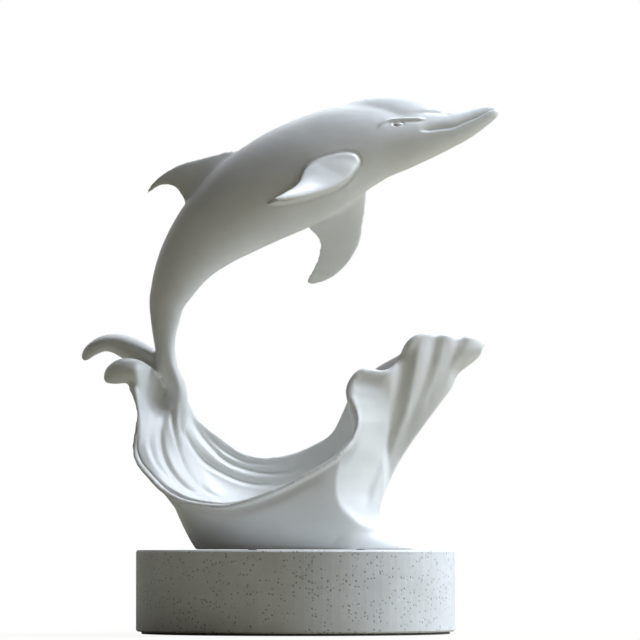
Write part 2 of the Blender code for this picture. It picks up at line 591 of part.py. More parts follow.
def casting(finish):
    """The dolphin and the wave it leaves, poured as one piece and drilled for its two screws."""
    pieces = [
        wave_hull(),
        spill(),
        loft("back_curl", oval_sections(BACK_CURL, BACK_CURL_DEPTH, 0.0, 50)),
        loft("front_curl", oval_sections(FRONT_CURL, FRONT_CURL_DEPTH, 0.0, 40)),
        loft("body", oval_sections(BODY, 0.0, BODY_ROLL, 140)),
        melon(),
        fin("dorsal_fin", DORSAL_LEADING, DORSAL_TRAILING),
        fin("far_flipper", FAR_FLIPPER_LEADING, FAR_FLIPPER_TRAILING),
        fin("near_flipper", NEAR_FLIPPER_LEADING, NEAR_FLIPPER_TRAILING),
    ]
    whole = one_skin(pieces)
    keep_the_body(whole)
    soften(whole)
    carve(whole)
    cut_foot(whole)
    thin_out(whole)
    whole.name = "dolphin_and_wave"
    whole.data.name = "dolphin_and_wave"
    whole.data.materials.clear()
    whole.data.materials.append(finish)
    whole.data.shade_smooth()
    whole.location = (0.0, 0.0, FOOT_LEVEL * MM)
    for side, x in SCREW_PLACES.items():
        depth = SCREW_GRIP + 1.0
        bore = cylinder(f"bore_{side}", SCREW_SHANK_DIAMETER / 2.0 + HOLE_CLEARANCE, -5.0, depth)
        bore.location = (x * MM, 0.0, FOOT_LEVEL * MM)
        drill(whole, bore)
    return whole


def stone_base(finish):
    """A turned disc of stone with its edges just eased, and two stepped holes from below."""
    radius = BASE_DIAMETER / 2.0
    profile = [
        (radius - BASE_BEVEL, BASE_BOTTOM),
        (radius, BASE_BOTTOM + BASE_BEVEL),
        (radius, BASE_TOP - BASE_BEVEL),
        (radius - BASE_BEVEL, BASE_TOP),
    ]
    stone = turned("stone_base", profile, finish, 112)
    wide, narrow = COUNTERBORE_DIAMETER / 2.0, SCREW_SHANK_DIAMETER / 2.0 + HOLE_CLEARANCE
    steps = [
        (wide, BASE_BOTTOM - 5.0),
        (wide, SHOULDER_LEVEL),
        (narrow, SHOULDER_LEVEL),
        (narrow, BASE_TOP + 5.0),
    ]
    for side, x in SCREW_PLACES.items():
        cutter = turned(f"stepped_hole_{side}", steps, None, 32)
        cutter.location.x = x * MM
        drill(stone, cutter)
    return stone


def felt_pad(finish):
    """A thin disc of felt under the stone, a little smaller all round."""
    radius = BASE_DIAMETER / 2.0 - FELT_INSET
    return turned("felt_pad", [(radius, 0.0), (radius, FELT_THICKNESS)], finish, 96)


def fixing(side, x, steel):
    """One screw and its washer, sunk in the stone and driven up into the casting's foot."""
    washer_top = SHOULDER_LEVEL - SEAT_GAP
    washer_bottom = washer_top - WASHER_THICKNESS
    hole, rim = SCREW_SHANK_DIAMETER / 2.0 + HOLE_CLEARANCE, WASHER_DIAMETER / 2.0
    outline = [(hole, washer_bottom), (rim, washer_bottom), (rim, washer_top), (hole, washer_top)]
    washer = turned(f"washer_{side}", outline, steel, 32, hollow=True)
    washer.location.x = x * MM
    head_top = washer_bottom - SEAT_GAP
    head_bottom = head_top - SCREW_HEAD_HEIGHT
    head, shank = SCREW_HEAD_DIAMETER / 2.0, SCREW_SHANK_DIAMETER / 2.0
    tip = FOOT_LEVEL + SCREW_GRIP
    outline = [
        (head * 0.72, head_bottom),
        (head * 0.93, head_bottom + SCREW_HEAD_HEIGHT * 0.25),
        (head, head_bottom + SCREW_HEAD_HEIGHT * 0.6),
        (head, head_top),
        (shank, head_top),
        (shank, tip - shank * 1.2),
        (shank * 0.35, tip),
    ]
    screw = turned(f"fixing_screw_{side}", outline, steel, 32)
    screw.location.x = x * MM
    across = SCREW_SOCKET_ACROSS / math.sqrt(3.0)
    socket = cylinder(f"socket_{side}", across, head_bottom - 2.0, head_bottom + SCREW_SOCKET_DEPTH, 6)
    socket.location.x = x * MM
    drill(screw, socket)


def main():
    clear_scene()
    resin = material("white_cast_resin", (0.86, 0.86, 0.85), 0.38)
    stone = material("speckled_stone", (0.62, 0.63, 0.64), 0.6)
    felt = material("grey_felt", (0.12, 0.12, 0.12), 0.95)
    steel = material("zinc_plated_steel", (0.62, 0.62, 0.6), 0.35, 1.0)
    casting(resin)
    stone_base(stone)
    felt_pad(felt)
    for side, x in SCREW_PLACES.items():
        fixing(side, x, steel)


main()
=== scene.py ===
"""A leaping dolphin on a breaking wave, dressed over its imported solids. Metres, Z up, front at -Y."""

import math

import bpy
import numpy as np
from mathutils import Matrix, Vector


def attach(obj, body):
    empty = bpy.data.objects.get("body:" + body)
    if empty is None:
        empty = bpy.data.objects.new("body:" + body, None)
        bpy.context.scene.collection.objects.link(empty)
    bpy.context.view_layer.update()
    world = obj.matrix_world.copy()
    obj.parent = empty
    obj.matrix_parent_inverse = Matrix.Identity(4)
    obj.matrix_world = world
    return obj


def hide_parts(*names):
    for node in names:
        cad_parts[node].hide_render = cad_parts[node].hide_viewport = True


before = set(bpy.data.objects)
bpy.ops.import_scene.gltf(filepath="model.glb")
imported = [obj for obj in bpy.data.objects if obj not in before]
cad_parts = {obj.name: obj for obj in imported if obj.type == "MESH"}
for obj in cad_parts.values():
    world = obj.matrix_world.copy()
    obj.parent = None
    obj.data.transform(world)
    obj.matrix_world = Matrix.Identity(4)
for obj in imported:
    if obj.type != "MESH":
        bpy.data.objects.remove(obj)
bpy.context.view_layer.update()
bpy.ops.object.select_all(action="DESELECT")

# The casting: dolphin and wave are one pour of white resin, made in a rubber mould that was taken
# off a model worked by hand. So no edge is sharp, every crease has a rounded lip, and the eyes, the
# mouths and the flow lines of the water are part of the skin. It sits on its flat foot on the stone.
MM = 0.001
FOOT_LEVEL = 46.6
SKIN_VOXEL = 0.75
SKIN_TRIANGLES = 190000
SMOOTHING_PASSES = 70

# The dolphin's middle line from the neck to the tip of the beak: x, z, half height, half width
HEAD = [
    (26.5, 221.0, 26.4, 24.6), (43.0, 226.0, 22.0, 21.4), (61.0, 228.5, 16.8, 17.0),
    (78.5, 231.5, 11.5, 12.6), (95.5, 236.5, 7.4, 8.4), (103.5, 240.3, 5.6, 6.4),
    (108.5, 242.8, 4.4, 5.0), (111.6, 244.1, 3.1, 3.5), (113.1, 244.7, 1.1, 1.3),
]
BODY_ROLL = 20.0

# Lines on the head as distance along it and height over its middle: the same on both cheeks
MOUTH = [
    (66.0, -2.4), (70.0, -2.9), (74.5, -3.1), (80.0, -2.9), (87.0, -3.1),
    (95.0, -1.7), (103.5, -1.0), (110.0, 0.2), (115.0, 0.6),
]
LID = [(45.5, -1.4), (49.0, 1.6), (52.5, 3.6), (57.5, 4.3), (66.5, 4.2), (74.5, 4.1)]
MELON_FOLD = [(50.0, 6.8), (58.0, 8.0), (69.0, 8.0), (80.0, 7.8), (89.0, 6.6)]
EYE_MIDDLE = (58.0, 1.4)
EYE_HALF_SIZE = (2.3, 1.0)
MOUTH_DEPTH = 1.7
LID_RISE = 1.0
LID_GROOVE = 0.4
FOLD_DEPTH = 1.0
EYE_RISE = 0.75
EYE_GROOVE = 0.45

# Lines on the wave as seen from the front: x, z over the foot
FLOW_LINES = [
    [(-66.5, 89.5), (-67.5, 80.5), (-67.5, 72), (-65.5, 61), (-62, 49.5), (-57.5, 41.5),
     (-51.5, 34.5), (-44, 29.5), (-36.5, 27.5)],
    [(-72.5, 74.5), (-74, 66.5), (-73.5, 57), (-71, 48.5), (-66, 40.5), (-59, 33.5), (-50, 28.5)],
    [(-80, 69), (-80, 58), (-77, 48.5), (-71, 41), (-62.5, 33.5), (-54.5, 28)],
    [(-64, 83), (-62, 66.5), (-57, 57), (-50, 49), (-41, 43.5), (-31, 39), (-19, 37), (-6.5, 37.5)],
    [(-60, 76.5), (-53, 64), (-46, 56), (-37.5, 49), (-28, 45.5), (-17.5, 43.5), (-5.5, 44), (7, 48)],
    [(-55.5, 71), (-47.5, 62), (-37.5, 54), (-27.5, 49.5), (-16.5, 48.5), (-4.5, 49)],
]
FLOW_DEPTHS = (1.3, 1.2, 0.35, 0.9, 0.75, 0.55)
# The near rim of the bowl from the left crest to the notch: x, y, z
FRONT_RIM = [
    (-93, -13, 94), (-92.5, -18, 88.5), (-90, -22, 83), (-88, -25, 74.5), (-89, -27, 65.5),
    (-90, -30, 55.5), (-88, -33, 48), (-81, -37, 39.5), (-72.5, -40, 31.5), (-61.5, -43, 26),
    (-50.5, -45, 24), (-39, -46, 23.5), (-26.5, -47, 26.5), (-14.5, -47, 31), (8, -45, 42),
    (24.5, -41, 52.5), (32.5, -37, 62), (35.5, -35, 72), (34.5, -33.5, 80.5), (32, -31.5, 86.5),
    (31.5, -30, 92), (34.5, -29, 97), (43, -27, 99.5),
]
RIM_ROLL = 1.7
RIM_TUCK = 2.6
RIM_TUCK_GAP = 3.4
# Where the fan's wall folds back in a step: x, z down each one, with its height and its reach
FAN_STEPS = [
    ([(70, 118), (66.8, 110.8), (62.9, 94.2), (58.5, 72), (53.5, 60.8), (47.9, 46.9),
      (42.5, 33), (39.5, 20)], 0.8, 8.0),
    ([(86, 117), (83.5, 106), (79, 93), (73, 79)], 0.3, 5.0),
]
# The near flipper's outline as seen from the front, x, z, from its tip over the top and back
FLIPPER_EDGE = [
    (-12.6, 191.7), (-6.8, 195.3), (-1.2, 198.9), (2.1, 203.1), (3.5, 207.8), (6.3, 211.1), (11.8, 214.2),
    (20.1, 217), (28.5, 218.3), (33.5, 217), (34.9, 214.2), (33.5, 211.1), (29.3, 205), (24.6, 200.8),
    (18.2, 197.5), (11.8, 195.3), (6.3, 193.3), (-0.4, 191.7), (-6.8, 190.6), (-12.4, 190.6),
]
FLIPPER_MIDDLE = (11.0, 204.0)
# The fold right of the bowl, from the notch down and out along the ledge: x, z
APRON_EDGE = [
    (30.5, 92), (31, 86.5), (32.3, 80.5), (34.3, 72), (32, 63), (27.5, 55), (24, 46.5), (21.8, 36),
    (22.3, 29), (24.2, 24), (27.5, 18.8), (32, 14.2), (38, 11.2), (46, 9), (54, 6.2), (62, 4.4),
]
# The skin that falls back behind that edge: z, then x and y at the edge, then x and y at the fan
FALL_BACK = np.array([
    (4, 60, -14, 64, -8), (10, 44, -26, 56, -6), (14, 33, -33.5, 53, -7),
    (19, 27.5, -36.5, 52, -8), (24, 24, -38.8, 52, -8.5), (30, 22.3, -40.2, 52, -8.5),
    (38, 22, -41.2, 52, -9.5), (46, 24, -40.9, 52, -10.5), (54, 28, -39.6, 52, -11.5),
    (62, 31.6, -36.6, 53, -11.6), (70, 34.2, -34.6, 54, -13.2), (80, 32.3, -33.9, 54, -16.3),
    (88, 31, -31.2, 54, -19.6), (94, 30.5, -29.6, 54, -21),
])
# The hollow under the front curl as seen from the front: x, z, then its half sizes and its depth
THROAT_MIDDLE = (-76.5, 91.0)
THROAT_HALF_WIDTH = 8.5
THROAT_HALF_HEIGHT_ABOVE = 13.0
THROAT_HALF_HEIGHT_BELOW = 22.0
THROAT_DEPTH = 14.0
# Where the fan's right edge is drawn in below its tip: x, z, and how far and how deep it reaches
FAN_WAIST = (93.0, 98.5)
FAN_WAIST_REACH = 7.5
FAN_WAIST_DEPTH = 3.0
TIP_GAIN = 0.4


def linear(code):
    """An sRGB hex code as the linear colour that a shader reads."""
    parts = [int(code[k:k + 2], 16) / 255.0 for k in (1, 3, 5)]
    return (*[p / 12.92 if p <= 0.04045 else ((p + 0.055) / 1.055) ** 2.4 for p in parts], 1.0)


def add_node(finish, kind, settings=None, links=None):
    """Adds one node to a material or a world, with its settings and with its inputs' values or sources."""
    node = finish.node_tree.nodes.new(kind)
    for name, value in (settings or {}).items():
        setattr(node, name, value)
    for name, value in (links or {}).items():
        if isinstance(value, bpy.types.NodeSocket):
            finish.node_tree.links.new(value, node.inputs[name])
        else:
            node.inputs[name].default_value = value
    return node


def smooth_path(points, count):
    """Evenly spaced samples of a smooth curve through given points."""
    knots = np.array(points, float)
    reach = np.concatenate([[0.0], np.cumsum(np.linalg.norm(np.diff(knots, axis=0), axis=1))])
    slopes = np.gradient(knots, reach, axis=0)
    fine = np.linspace(0.0, reach[-1], count)
    span = np.clip(np.searchsorted(reach, fine, side="right") - 1, 0, len(knots) - 2)
    width = (reach[span + 1] - reach[span])[:, None]
    t = (fine - reach[span])[:, None] / width
    rise = t * t * (3.0 - 2.0 * t)
    path = knots[span] * (1.0 - rise) + knots[span + 1] * rise
    return path + width * (slopes[span] * t * (1.0 - t) ** 2 - slopes[span + 1] * t * t * (1.0 - t))


def from_line(spots, line):
    """Distance from each spot to a smooth line, the side it lies on, and the share of the line there."""
    path = smooth_path(line, 70)
    nearest = np.full(len(spots), 1e9)
    side = np.zeros(len(spots))
    share = np.zeros(len(spots))
    for k in range(len(path) - 1):
        step = path[k + 1] - path[k]
        t = np.clip((spots - path[k]) @ step / (step @ step), 0.0, 1.0)
        away = spots - path[k] - t[:, None] * step
        gap = np.linalg.norm(away, axis=1)
        closer = gap < nearest
        nearest[closer] = gap[closer]
        side[closer] = np.sign(step[0] * away[:, 1] - step[1] * away[:, 0])[closer]
        share[closer] = (k + t[closer]) / (len(path) - 1)
    return nearest, side, share


def from_rim(place, rim):
    """Distance from each point to a smooth line in space, and the share of the line there."""
    path = smooth_path(rim, 160)
    nearest = np.full(len(place), 1e9)
    share = np.zeros(len(place))
    for k, spot in enumerate(path):
        gap = np.linalg.norm(place - spot, axis=1)
        closer = gap < nearest
        nearest[closer] = gap[closer]
        share[closer] = k / (len(path) - 1)
    return nearest, share


def ramp(value, low, high):
    """0 below low, 1 above high, and a soft rise between them. It falls where low is above high."""
    t = np.clip((value - low) / (high - low), 0.0, 1.0)
    return t * t * (3.0 - 2.0 * t)


def read_skin(piece):
    """A piece's points in millimetres over its foot, and the way each one faces."""
    mesh = piece.data
    place = np.zeros(len(mesh.vertices) * 3)
    facing = np.zeros(len(mesh.vertices) * 3)
    mesh.vertices.foreach_get("co", place)
    mesh.vertices.foreach_get("normal", facing)
    place = place.reshape(-1, 3) / MM
    place[:, 2] -= FOOT_LEVEL
    return place, facing.reshape(-1, 3)


def write_skin(piece, place):
    """Puts points in millimetres over the foot back into a piece."""
    moved = place.copy()
    moved[:, 2] += FOOT_LEVEL
    piece.data.vertices.foreach_set("co", (moved * MM).ravel())
    piece.data.update()


def even_out(piece, passes, share=None):
    """Rubs the skin down without thinning it: each pass in is followed by a slightly longer one out."""
    place, _ = read_skin(piece)
    mesh = piece.data
    pairs = np.zeros(len(mesh.edges) * 2, dtype=np.int64)
    mesh.edges.foreach_get("vertices", pairs)
    pairs = pairs.reshape(-1, 2)
    ends = np.concatenate([pairs[:, 0], pairs[:, 1]])
    others = np.concatenate([pairs[:, 1], pairs[:, 0]])
    links = np.bincount(ends, minlength=len(place))[:, None]
    hold = ramp(place[:, 2], 0.4, 3.0)[:, None]
    if share is not None:
        hold = hold * share[:, None]
    for _ in range(passes):
        for strength in (0.52, -0.53):
            sums = [np.bincount(ends, place[others, k], len(place)) for k in range(3)]
            pull = np.stack(sums, axis=1) / links
            place = place + (pull - place) * strength * hold
    write_skin(piece, place)


solid_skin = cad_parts["dolphin_and_wave"].data.copy()
casting = bpy.data.objects.new("dolphin_and_wave_finished", solid_skin)
bpy.context.collection.objects.link(casting)
bpy.context.view_layer.objects.active = casting
casting.select_set(True)
bpy.ops.object.mode_set(mode="EDIT")
bpy.ops.mesh.select_all(action="SELECT")
bpy.ops.mesh.remove_doubles(threshold=0.00002)
bpy.ops.object.mode_set(mode="OBJECT")


def new_skin(piece):
    """Draws one even skin over a piece, which also closes what the last cuts folded over."""
    skin = piece.modifiers.new("skin", "REMESH")
    skin.mode = "VOXEL"
    skin.voxel_size = SKIN_VOXEL * MM
    bpy.ops.object.modifier_apply(modifier="skin")


# The far flipper's tip and the fan's right tip get the thickness that a poured edge keeps
place, facing = read_skin(casting)
thin_tips = ramp(place[:, 1], 20.0, 30.0) * (place[:, 2] > 135.0)
thin_tips = np.maximum(thin_tips, ramp(place[:, 0], 92.0, 99.0) * (place[:, 2] < 130.0))
place += facing * (TIP_GAIN * thin_tips)[:, None]
write_skin(casting, place)
new_skin(casting)

# Right of the bowl the hull's front skin ends in a soft upright fold, which runs out along the foot
# as a ledge. Behind the two the skin falls back in one sweep to the fan.
place, facing = read_skin(casting)
gap, side, share = from_line(place[:, [0, 2]], APRON_EDGE)
inside = gap * side
rows = [np.interp(place[:, 2], FALL_BACK[:, 0], FALL_BACK[:, k]) for k in (1, 2, 3, 4)]
reach = np.clip((place[:, 0] - rows[0]) / (rows[2] - rows[0]), 0.0, 1.0)
sweep = rows[1] + (rows[3] - rows[1]) * (0.8 * reach + 0.2 * reach * reach)
on_ledge = ramp(share, 0.6, 0.72)
behind = ramp(inside, 0.0, 1.5) * (1.0 - on_ledge) + ramp(inside, 0.0, 5.0) * on_ledge
behind *= (
    ramp(rows[2] - place[:, 0], 0.0, 4.0) * ramp(place[:, 2], 94.0, 86.0)
    * ramp(place[:, 2], 3.0, 6.0)
)
to_front = 1.3 * np.maximum(facing[:, 0], 0.0) - facing[:, 1]
behind *= ramp(to_front, -0.35, 0.05) * (place[:, 1] < -4.0)
place[:, 1] += (sweep - place[:, 1]) * behind
# Below its tip the fan's right edge is drawn in a little, so that the tip stands out
away = np.hypot(place[:, 0] - FAN_WAIST[0], place[:, 2] - FAN_WAIST[1])
place[:, 0] -= FAN_WAIST_DEPTH * np.exp(-((away / FAN_WAIST_REACH) ** 2)) * (place[:, 2] > 60.0)
# Under the front curl the water is hollowed out deep enough to stay in shade
across = (place[:, 0] - THROAT_MIDDLE[0]) / THROAT_HALF_WIDTH
above = place[:, 2] > THROAT_MIDDLE[1]
half_height = np.where(above, THROAT_HALF_HEIGHT_ABOVE, THROAT_HALF_HEIGHT_BELOW)
down = (place[:, 2] - THROAT_MIDDLE[1]) / half_height
place[:, 1] += (
    THROAT_DEPTH * np.exp(-(across**4)) * np.exp(-(down**2))
    * ramp(-facing[:, 1], -0.1, 0.3) * ramp(place[:, 1], -5.0, -10.0)
)
write_skin(casting, place)
new_skin(casting)
even_out(casting, SMOOTHING_PASSES)

# The head is worked finer than the rest, so its faces are split once before the cuts are made
place, facing = read_skin(casting)
on_head = (place[:, 0] > 40.0) & (place[:, 2] > 205.0)
bpy.ops.object.mode_set(mode="EDIT")
bpy.ops.mesh.select_mode(type="VERT")
bpy.ops.mesh.select_all(action="DESELECT")
bpy.ops.object.mode_set(mode="OBJECT")
casting.data.vertices.foreach_set("select", on_head)
corners = [on_head[list(face.vertices)].all() for face in casting.data.polygons]
casting.data.polygons.foreach_set("select", corners)
bpy.ops.object.mode_set(mode="EDIT")
bpy.ops.mesh.select_mode(type="FACE")
bpy.ops.mesh.subdivide(number_cuts=1, smoothness=0.0)
bpy.ops.object.mode_set(mode="OBJECT")


def in_the_head(place):
    """Where each point of the head lies: distance along it, height over and depth beside its middle."""
    path = smooth_path(HEAD, 240)[:, :2]
    ahead = np.gradient(path, axis=0)
    ahead /= np.linalg.norm(ahead, axis=1)[:, None]
    flat = place[:, [0, 2]]
    nearest = np.full(len(place), 1e9)
    found = np.zeros(len(place), dtype=int)
    for k in range(len(path)):
        gap = np.sum((flat - path[k]) ** 2, axis=1)
        closer = gap < nearest
        nearest[closer] = gap[closer]
        found[closer] = k
    along = np.sum((flat - path[found]) * ahead[found], axis=1)
    sideways = np.stack([-ahead[found, 1], ahead[found, 0]], axis=1)
    across = np.sum((flat - path[found]) * sideways, axis=1)
    turn = math.radians(BODY_ROLL)
    up = across * math.cos(turn) + place[:, 1] * math.sin(turn)
    beside = place[:, 1] * math.cos(turn) - across * math.sin(turn)
    return path[found, 0] + along, up, beside


place, facing = read_skin(casting)
near_head = np.flatnonzero((place[:, 0] > 20.0) & (place[:, 2] > 205.0))
along, up, beside = in_the_head(place[near_head])
on_cheek = np.stack([along, up], axis=1)
cut = np.zeros(len(near_head))
gap, side, share = from_line(on_cheek, MOUTH)
open_mouth = ramp(along, 68.0, 76.0) * ramp(share, 1.0, 0.9)
over, under = np.exp(-gap / 1.9), np.exp(-((gap / 0.75) ** 2))
cut -= MOUTH_DEPTH * np.where(side > 0, over, under) * open_mouth
cheek = ramp(np.abs(beside), 4.0, 8.0)
gap, side, share = from_line(on_cheek, LID)
run = ramp(share, 0.0, 0.25) * ramp(share, 1.0, 0.78)
cut += LID_RISE * np.exp(-((gap / 0.85) ** 2)) * run * cheek
groove = LID_GROOVE * np.exp(-(((gap - 1.6) / 0.8) ** 2))
cut -= groove * run * cheek * (side < 0) * ramp(share, 0.08, 0.3)
gap, side, share = from_line(on_cheek, MELON_FOLD)
run = ramp(share, 0.3, 0.85) * ramp(share, 1.0, 0.93)
cut -= FOLD_DEPTH * np.exp(-((gap / 1.5) ** 2)) * run * ramp(np.abs(beside), 1.5, 4.0)
past_eye = along - EYE_MIDDLE[0]
over_eye = up - EYE_MIDDLE[1] - 0.12 * past_eye
reach = np.hypot(past_eye / EYE_HALF_SIZE[0], over_eye / EYE_HALF_SIZE[1])
cut += EYE_RISE * np.clip(1.0 - reach**2, 0.0, 1.0) * cheek
cut -= EYE_GROOVE * np.exp(-(((reach - 1.3) / 0.28) ** 2)) * cheek
place[near_head] += facing[near_head] * cut[:, None]
write_skin(casting, place)

# The near flipper is a crisp leaf that stands off the flank all round and turns up to the light
place, facing = read_skin(casting)
gap, side, share = from_line(place[:, [0, 2]], FLIPPER_EDGE)
near_side = (place[:, 1] < -12.0) & (place[:, 2] > 184.0) & (place[:, 2] < 224.0)
leaf = ramp(-gap * side, -0.6, 0.7) * (np.abs(place[:, 0] - FLIPPER_MIDDLE[0]) < 26.0) * near_side
free = ramp(place[:, 1], -29.0, -32.0)
leaf *= np.maximum(ramp(-facing[:, 1], 0.0, 0.4), free)
to_tip = -0.5 * (place[:, 0] - FLIPPER_MIDDLE[0]) - 0.86 * (place[:, 2] - FLIPPER_MIDDLE[1])
place[:, 1] -= leaf * (1.3 + 0.12 * np.clip(to_tip + 8.0, 0.0, 16.0))
around = (
    np.exp(-(((gap * side - 1.1) / 0.8) ** 2)) * near_side
    * ramp(-facing[:, 1], 0.2, 0.5) * (1.0 - free)
)
place[:, 1] += 0.5 * around
write_skin(casting, place)
even_out(casting, 3, np.exp(-((gap / 3.0) ** 2)) * near_side)

# The flow lines inside the bowl, pressed in with a rounded tool that left a ridge between them
place, facing = read_skin(casting)
flat = place[:, [0, 2]]
move = np.zeros(len(place))
open_side = np.clip((-facing[:, 1] + 0.35 * facing[:, 2]) * 3.0, 0.0, 1.0)
open_side *= np.clip(facing[:, 2] * 5.0 + np.clip((place[:, 1] + 26.0) * 0.2, 0.0, 1.0), 0.0, 1.0)
open_side *= ramp(place[:, 2], 100.0, 92.0)
for depth, line in zip(FLOW_DEPTHS, FLOW_LINES):
    gap, side, share = from_line(flat, line)
    run = ramp(share, 0.03, 0.28) * ramp(share, 1.0, 0.78)
    move -= depth * np.exp(-((gap / 1.0) ** 2)) * open_side * run
    move += 0.45 * depth * np.exp(-(((gap * side + 2.6) / 1.4) ** 2)) * open_side * run
# The near rim is a rolled lip, with a tucked line under it down the front of the hull
gap, share = from_rim(place, FRONT_RIM)
by_rim = np.exp(-((gap / 3.5) ** 2))
outside = ramp(-facing[:, 1], 0.1, 0.5) * ramp(share, 0.12, 0.22) * ramp(share, 0.82, 0.74)
move += RIM_ROLL * np.exp(-((gap / 1.5) ** 2)) * outside
tuck = np.where(
    gap < RIM_TUCK_GAP,
    np.exp(-(((gap - RIM_TUCK_GAP) / 1.1) ** 2)),
    np.exp(-(((gap - RIM_TUCK_GAP) / 3.2) ** 2)),
)
move -= RIM_TUCK * tuck * outside
# The fan's wall is pleated: left of each pleat's edge it drops back and comes forward again slowly
for line, height, reach in FAN_STEPS:
    gap, side, share = from_line(flat, line)
    front = (
        ramp(-facing[:, 1], 0.1, 0.5) * ramp(share, 0.0, 0.1) * ramp(share, 1.0, 0.88)
        * (place[:, 1] < 8.0)
    )
    fall = np.exp(-gap / reach)
    move += height * (2.0 * ramp(gap * side, -2.4, 2.4) - 1.0) * fall * front
place += facing * move[:, None]
write_skin(casting, place)
even_out(casting, 10, by_rim)

bpy.ops.object.select_all(action="DESELECT")
casting.select_set(True)
bpy.context.view_layer.objects.active = casting
casting.data.calc_loop_triangles()
thin = casting.modifiers.new("thin", "DECIMATE")
thin.ratio = min(1.0, SKIN_TRIANGLES / len(casting.data.loop_triangles))
bpy.ops.object.modifier_apply(modifier="thin")
bpy.ops.object.shade_smooth()

# White casting resin, filled with chalk and washed after moulding: a satin white with a soft, wide
# highlight, a faint unevenness of tone where the fill settled, about 36 mm across, and a fine skin of
# 1 mm from the mould. Scales here and below are cells a metre.
resin = bpy.data.materials.new("white_casting_resin")
resin.use_nodes = True
shader = resin.node_tree.nodes["Principled BSDF"]
spot = add_node(resin, "ShaderNodeTexCoord")
settled = add_node(resin, "ShaderNodeTexNoise", links={
    "Vector": spot.outputs["Object"], "Scale": 28.0, "Detail": 4.0, "Roughness": 0.55,
})
tone = add_node(resin, "ShaderNodeValToRGB", links={"Fac": settled.outputs["Fac"]})
tone.color_ramp.elements[0].position = 0.34
tone.color_ramp.elements[0].color = linear("#E3E4E1")
tone.color_ramp.elements[1].position = 0.66
tone.color_ramp.elements[1].color = linear("#EEEFED")
sheen = add_node(resin, "ShaderNodeMapRange", links={
    "Value": settled.outputs["Fac"], "From Min": 0.3, "From Max": 0.7, "To Min": 0.36, "To Max": 0.46,
})
mould_skin = add_node(resin, "ShaderNodeTexNoise", links={
    "Vector": spot.outputs["Object"], "Scale": 900.0, "Detail": 3.0, "Roughness": 0.6,
})
relief = add_node(resin, "ShaderNodeBump", links={
    "Height": mould_skin.outputs["Fac"], "Strength": 0.25, "Distance": 0.00006,
})
resin.node_tree.links.new(tone.outputs["Color"], shader.inputs["Base Color"])
resin.node_tree.links.new(sheen.outputs["Result"], shader.inputs["Roughness"])
resin.node_tree.links.new(relief.outputs["Normal"], shader.inputs["Normal"])
shader.inputs["IOR"].default_value = 1.5
casting.data.materials.clear()
casting.data.materials.append(resin)
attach(casting, "root")
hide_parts("dolphin_and_wave")

# The base: a disc of cast stone, cement with fine dark aggregate, turned and honed. Its two edges are
# just eased, and two stepped holes from below take the screws. It gives a matt pale grey, clouded
# about 22 mm across, with pitted dark specks of 0.5 to 1 mm that lie in crowds of 12 mm.
stone = bpy.data.materials.new("honed_cast_stone")
stone.use_nodes = True
shader = stone.node_tree.nodes["Principled BSDF"]
spot = add_node(stone, "ShaderNodeTexCoord")
cloud = add_node(stone, "ShaderNodeTexNoise", links={
    "Vector": spot.outputs["Object"], "Scale": 45.0, "Detail": 6.0, "Roughness": 0.72,
})
paste = add_node(stone, "ShaderNodeValToRGB", links={"Fac": cloud.outputs["Fac"]})
paste.color_ramp.elements[0].position = 0.3
paste.color_ramp.elements[0].color = linear("#D0D2D1")
paste.color_ramp.elements[1].position = 0.7
paste.color_ramp.elements[1].color = linear("#E2E4E6")
stir = add_node(stone, "ShaderNodeTexNoise", links={
    "Vector": spot.outputs["Object"], "Scale": 700.0, "Detail": 2.0,
})
bent = add_node(stone, "ShaderNodeVectorMath", {"operation": "MULTIPLY_ADD"}, {
    0: stir.outputs["Color"], 1: (0.0011, 0.0011, 0.0011), 2: spot.outputs["Object"],
})
grit = add_node(stone, "ShaderNodeTexVoronoi", links={
    "Vector": bent.outputs["Vector"], "Scale": 600.0,
})
dark = add_node(stone, "ShaderNodeMapRange", links={
    "Value": grit.outputs["Distance"], "From Min": 0.14, "From Max": 0.48, "To Min": 1.0, "To Max": 0.0,
})
few = add_node(stone, "ShaderNodeSeparateColor", links={"Color": grit.outputs["Color"]})
crowd = add_node(stone, "ShaderNodeTexNoise", links={
    "Vector": spot.outputs["Object"], "Scale": 85.0, "Detail": 2.0,
})
rarity = add_node(stone, "ShaderNodeMapRange", links={
    "Value": crowd.outputs["Fac"], "From Min": 0.35, "From Max": 0.65, "To Min": 0.92, "To Max": 0.6,
})
chosen = add_node(stone, "ShaderNodeMath", {"operation": "GREATER_THAN"}, {
    0: few.outputs["Red"], 1: rarity.outputs["Result"],
})
speck = add_node(stone, "ShaderNodeMath", {"operation": "MULTIPLY"}, {
    0: dark.outputs["Result"], 1: chosen.outputs["Value"],
})
speck_tone = add_node(stone, "ShaderNodeMix", {"data_type": "RGBA"}, {
    "Factor": speck.outputs["Value"],
})
stone.node_tree.links.new(paste.outputs["Color"], speck_tone.inputs[6])
speck_tone.inputs[7].default_value = linear("#929690")
stone.node_tree.links.new(speck_tone.outputs[2], shader.inputs["Base Color"])
pit = add_node(stone, "ShaderNodeMath", {"operation": "MULTIPLY_ADD"}, {
    0: speck.outputs["Value"], 1: -1.0, 2: cloud.outputs["Fac"],
})
relief = add_node(stone, "ShaderNodeBump", links={
    "Height": pit.outputs["Value"], "Strength": 0.4, "Distance": 0.0002,
})
stone.node_tree.links.new(relief.outputs["Normal"], shader.inputs["Normal"])
shader.inputs["Roughness"].default_value = 0.62
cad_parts["stone_base"].material_slots[0].material = stone

